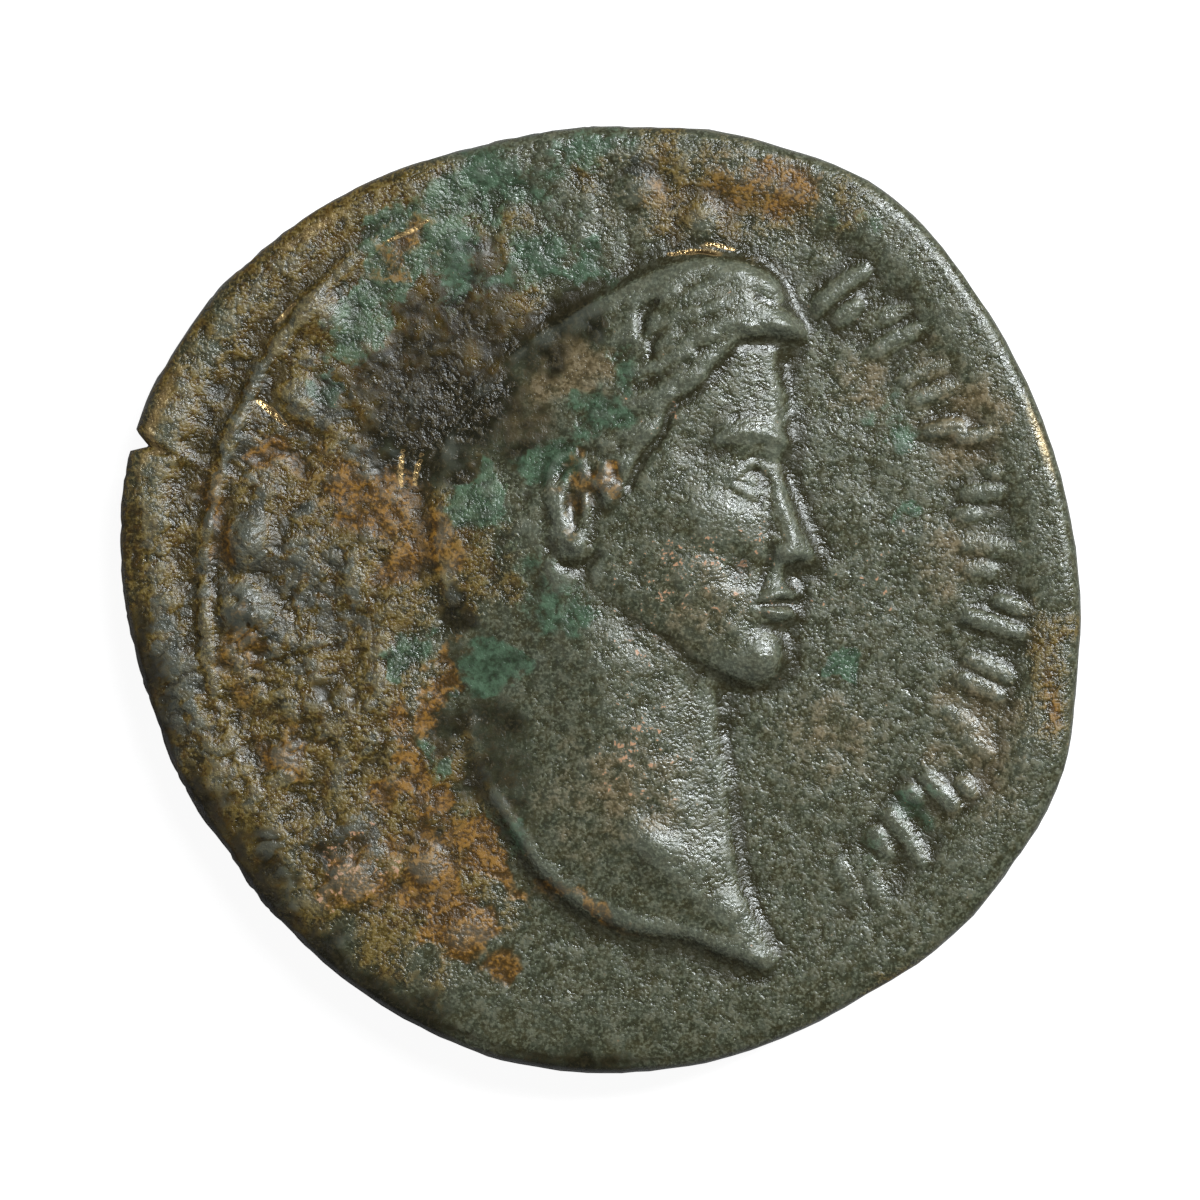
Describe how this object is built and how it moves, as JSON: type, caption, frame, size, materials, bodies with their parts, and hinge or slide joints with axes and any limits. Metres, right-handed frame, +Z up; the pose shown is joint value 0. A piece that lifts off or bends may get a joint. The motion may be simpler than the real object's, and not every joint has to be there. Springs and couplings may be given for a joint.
{
  "type": "roman bronze coin",
  "caption": "Worn struck bronze coin with a portrait bust in profile in relief, an uneven round outline with a split in its edge, and a wreath on its reverse.",
  "frame": {"origin": "under the middle of the flan, on the plane that the coin lies on", "axes": "+Z up, out of the obverse; +Y towards the top of the portrait's head; +X the way the portrait looks"},
  "size_m": [0.0332, 0.0328, 0.0044],
  "materials": {
    "bronze_patina": "dark olive bronze patina, worn and slightly glossy, with green, ochre and brown corrosion"
  },
  "bodies": {
    "root": {"coin": "bronze_patina"}
  },
  "joints": []
}
